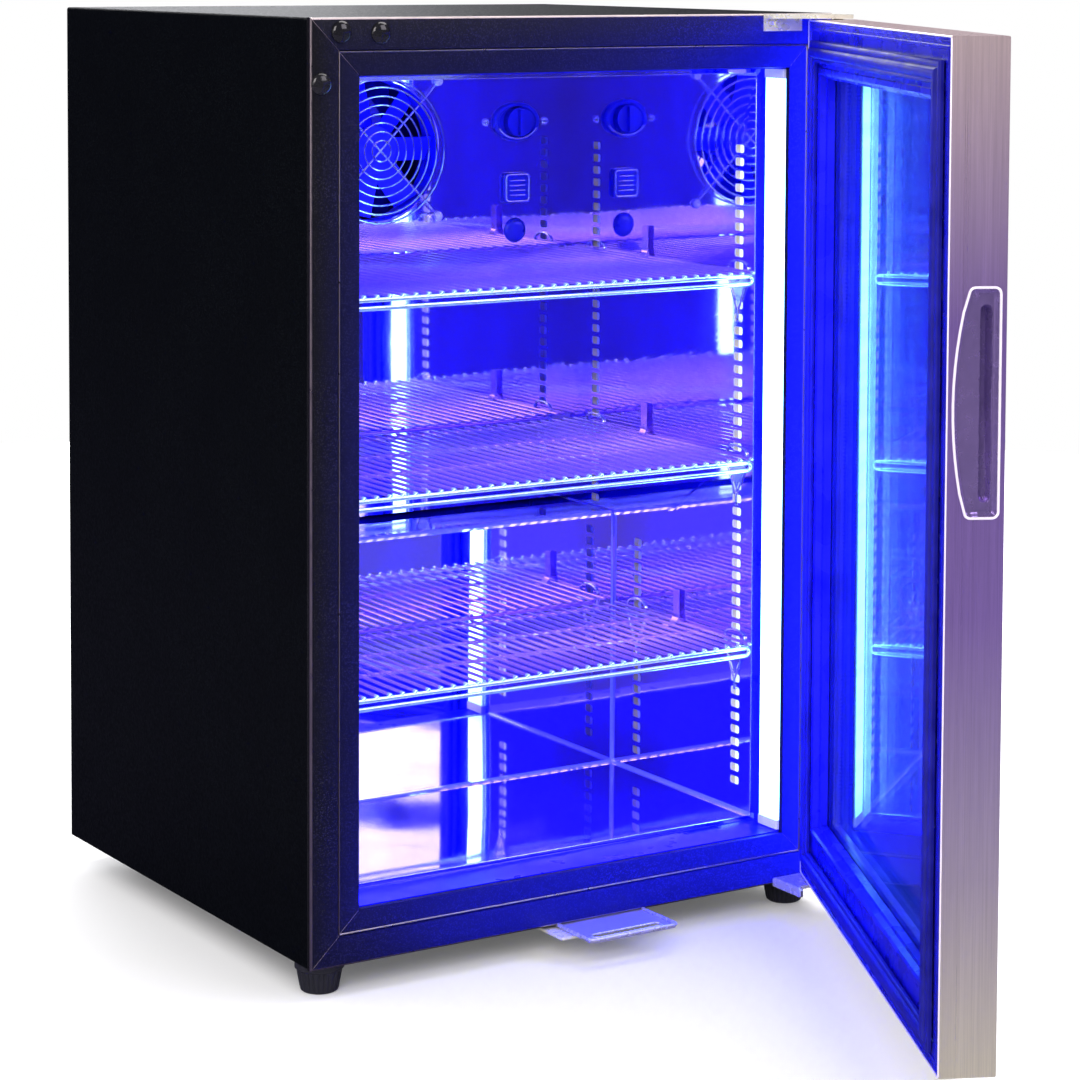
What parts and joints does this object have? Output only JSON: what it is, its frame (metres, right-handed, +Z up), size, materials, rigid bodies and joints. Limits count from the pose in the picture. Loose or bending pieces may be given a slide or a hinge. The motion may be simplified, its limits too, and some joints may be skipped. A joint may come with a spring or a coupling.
{
  "type": "undercounter refrigerator",
  "caption": "Undercounter glass-door refrigerator: black insulated cabinet, polished lit liner, wire shelves, fan-cooled rear panel and a hinged glazed door with a recessed side pull.",
  "frame": {"origin": "centre of the pressed pad in the underside of the base pan, under the middle of the cabinet's footprint and 22 mm above the floor", "axes": "+X to the right seen from the front, towards the hinge side; +Y from the door to the back panel; +Z up"},
  "size_m": [0.4538, 0.8238, 0.682],
  "materials": {
    "black_powder_coat": "satin",
    "black_paint": "gloss",
    "dark_plastic": "satin",
    "polished_liner": "polished",
    "chrome_wire": "polished",
    "brushed_steel": "satin",
    "plated_steel": "satin",
    "bare_aluminium": "satin",
    "insulating_foam": "matte",
    "opal_light_bar": "satin",
    "gasket_rubber": "matte",
    "clear_glass": "polished"
  },
  "bodies": {
    "cabinet": {"outer_shell": "black_powder_coat", "base_pan": "black_powder_coat", "back_panel": "black_powder_coat", "compressor_cover": "black_powder_coat", "front_frame": "black_powder_coat", "collar": "dark_plastic", "hinge_hole_cap_1": "dark_plastic", "hinge_hole_cap_2": "dark_plastic", "hinge_hole_cap_3": "dark_plastic", "fan_housing": "dark_plastic", "thermostat_bezel": "dark_plastic", "panel_plug": "dark_plastic", "power_inlet": "dark_plastic", "liner": "polished_liner", "evaporator_cover": "polished_liner", "fan_guard": "chrome_wire", "sensor_cover": "chrome_wire", "shelf_clip_1": "chrome_wire", "shelf_clip_2": "chrome_wire", "shelf_clip_3": "chrome_wire", "shelf_clip_4": "chrome_wire", "shelf_clip_5": "chrome_wire", "shelf_clip_6": "chrome_wire", "shelf_clip_7": "chrome_wire", "shelf_clip_8": "chrome_wire", "shelf_clip_9": "chrome_wire", "shelf_clip_10": "chrome_wire", "shelf_clip_11": "chrome_wire", "shelf_clip_12": "chrome_wire", "hinge_bracket_top": "plated_steel", "hinge_bracket_bottom": "plated_steel", "strike_plate": "plated_steel", "evaporator": "bare_aluminium", "compressor": "black_paint", "condenser": "black_paint", "insulation": "insulating_foam", "led_strip_left": "opal_light_bar", "led_strip_right": "opal_light_bar"},
    "door": {"door_frame": "brushed_steel", "door_inner_trim": "dark_plastic", "door_gasket": "gasket_rubber", "glass_inner": "clear_glass", "glass_middle": "clear_glass", "glass_outer": "clear_glass", "spacer_inner": "bare_aluminium", "spacer_outer": "bare_aluminium", "handle_pocket": "chrome_wire", "lock_housing": "chrome_wire", "door_bush_top": "dark_plastic", "door_bush_bottom": "dark_plastic"},
    "door_lock": {"lock_plug": "chrome_wire"},
    "fan": {"fan_rotor": "dark_plastic"},
    "thermostat": {"thermostat_knob": "dark_plastic"},
    "shelf_upper": {"shelf_1": "chrome_wire"},
    "shelf_centre": {"shelf_2": "chrome_wire"},
    "shelf_lower": {"shelf_3": "chrome_wire"},
    "foot_fl": {"foot_front_left": "dark_plastic"},
    "foot_fr": {"foot_front_right": "dark_plastic"},
    "foot_rl": {"foot_rear_left": "dark_plastic"},
    "foot_rr": {"foot_rear_right": "dark_plastic"}
  },
  "joints": [
    {"name": "door_hinge", "type": "hinge", "parent": "cabinet", "child": "door", "pos_m": [0.208, -0.226, 0.33], "axis": [0, 0, 1], "range_deg": [-63.9, 51.1]},
    {"name": "lock_turn", "type": "hinge", "parent": "door", "child": "door_lock", "pos_m": [0.13694, -0.40332, 0.03], "axis": [0.898, -0.4399, 0], "range_deg": [0, 90]},
    {"name": "fan_spin", "type": "hinge", "parent": "cabinet", "child": "fan", "pos_m": [0, 0.113, 0.546], "axis": [0, -1, 0], "continuous": true},
    {"name": "thermostat_turn", "type": "hinge", "parent": "cabinet", "child": "thermostat", "pos_m": [0.129, 0.0955, 0.566], "axis": [0, -1, 0], "range_deg": [-135, 135]},
    {"name": "shelf_upper_slide", "type": "slide", "parent": "cabinet", "child": "shelf_upper", "axis": [0, -1, 0], "range_m": [0, 0.026]},
    {"name": "shelf_centre_slide", "type": "slide", "parent": "cabinet", "child": "shelf_centre", "axis": [0, -1, 0], "range_m": [0, 0.026]},
    {"name": "shelf_lower_slide", "type": "slide", "parent": "cabinet", "child": "shelf_lower", "axis": [0, -1, 0], "range_m": [0, 0.026]},
    {"name": "foot_front_left_turn", "type": "hinge", "parent": "cabinet", "child": "foot_fl", "pos_m": [-0.203, -0.176, 0], "axis": [0, 0, 1], "continuous": true},
    {"name": "foot_front_right_turn", "type": "hinge", "parent": "cabinet", "child": "foot_fr", "pos_m": [0.203, -0.176, 0], "axis": [0, 0, 1], "continuous": true},
    {"name": "foot_rear_left_turn", "type": "hinge", "parent": "cabinet", "child": "foot_rl", "pos_m": [-0.16, 0.176, 0], "axis": [0, 0, 1], "continuous": true},
    {"name": "foot_rear_right_turn", "type": "hinge", "parent": "cabinet", "child": "foot_rr", "pos_m": [0.16, 0.176, 0], "axis": [0, 0, 1], "continuous": true}
  ]
}
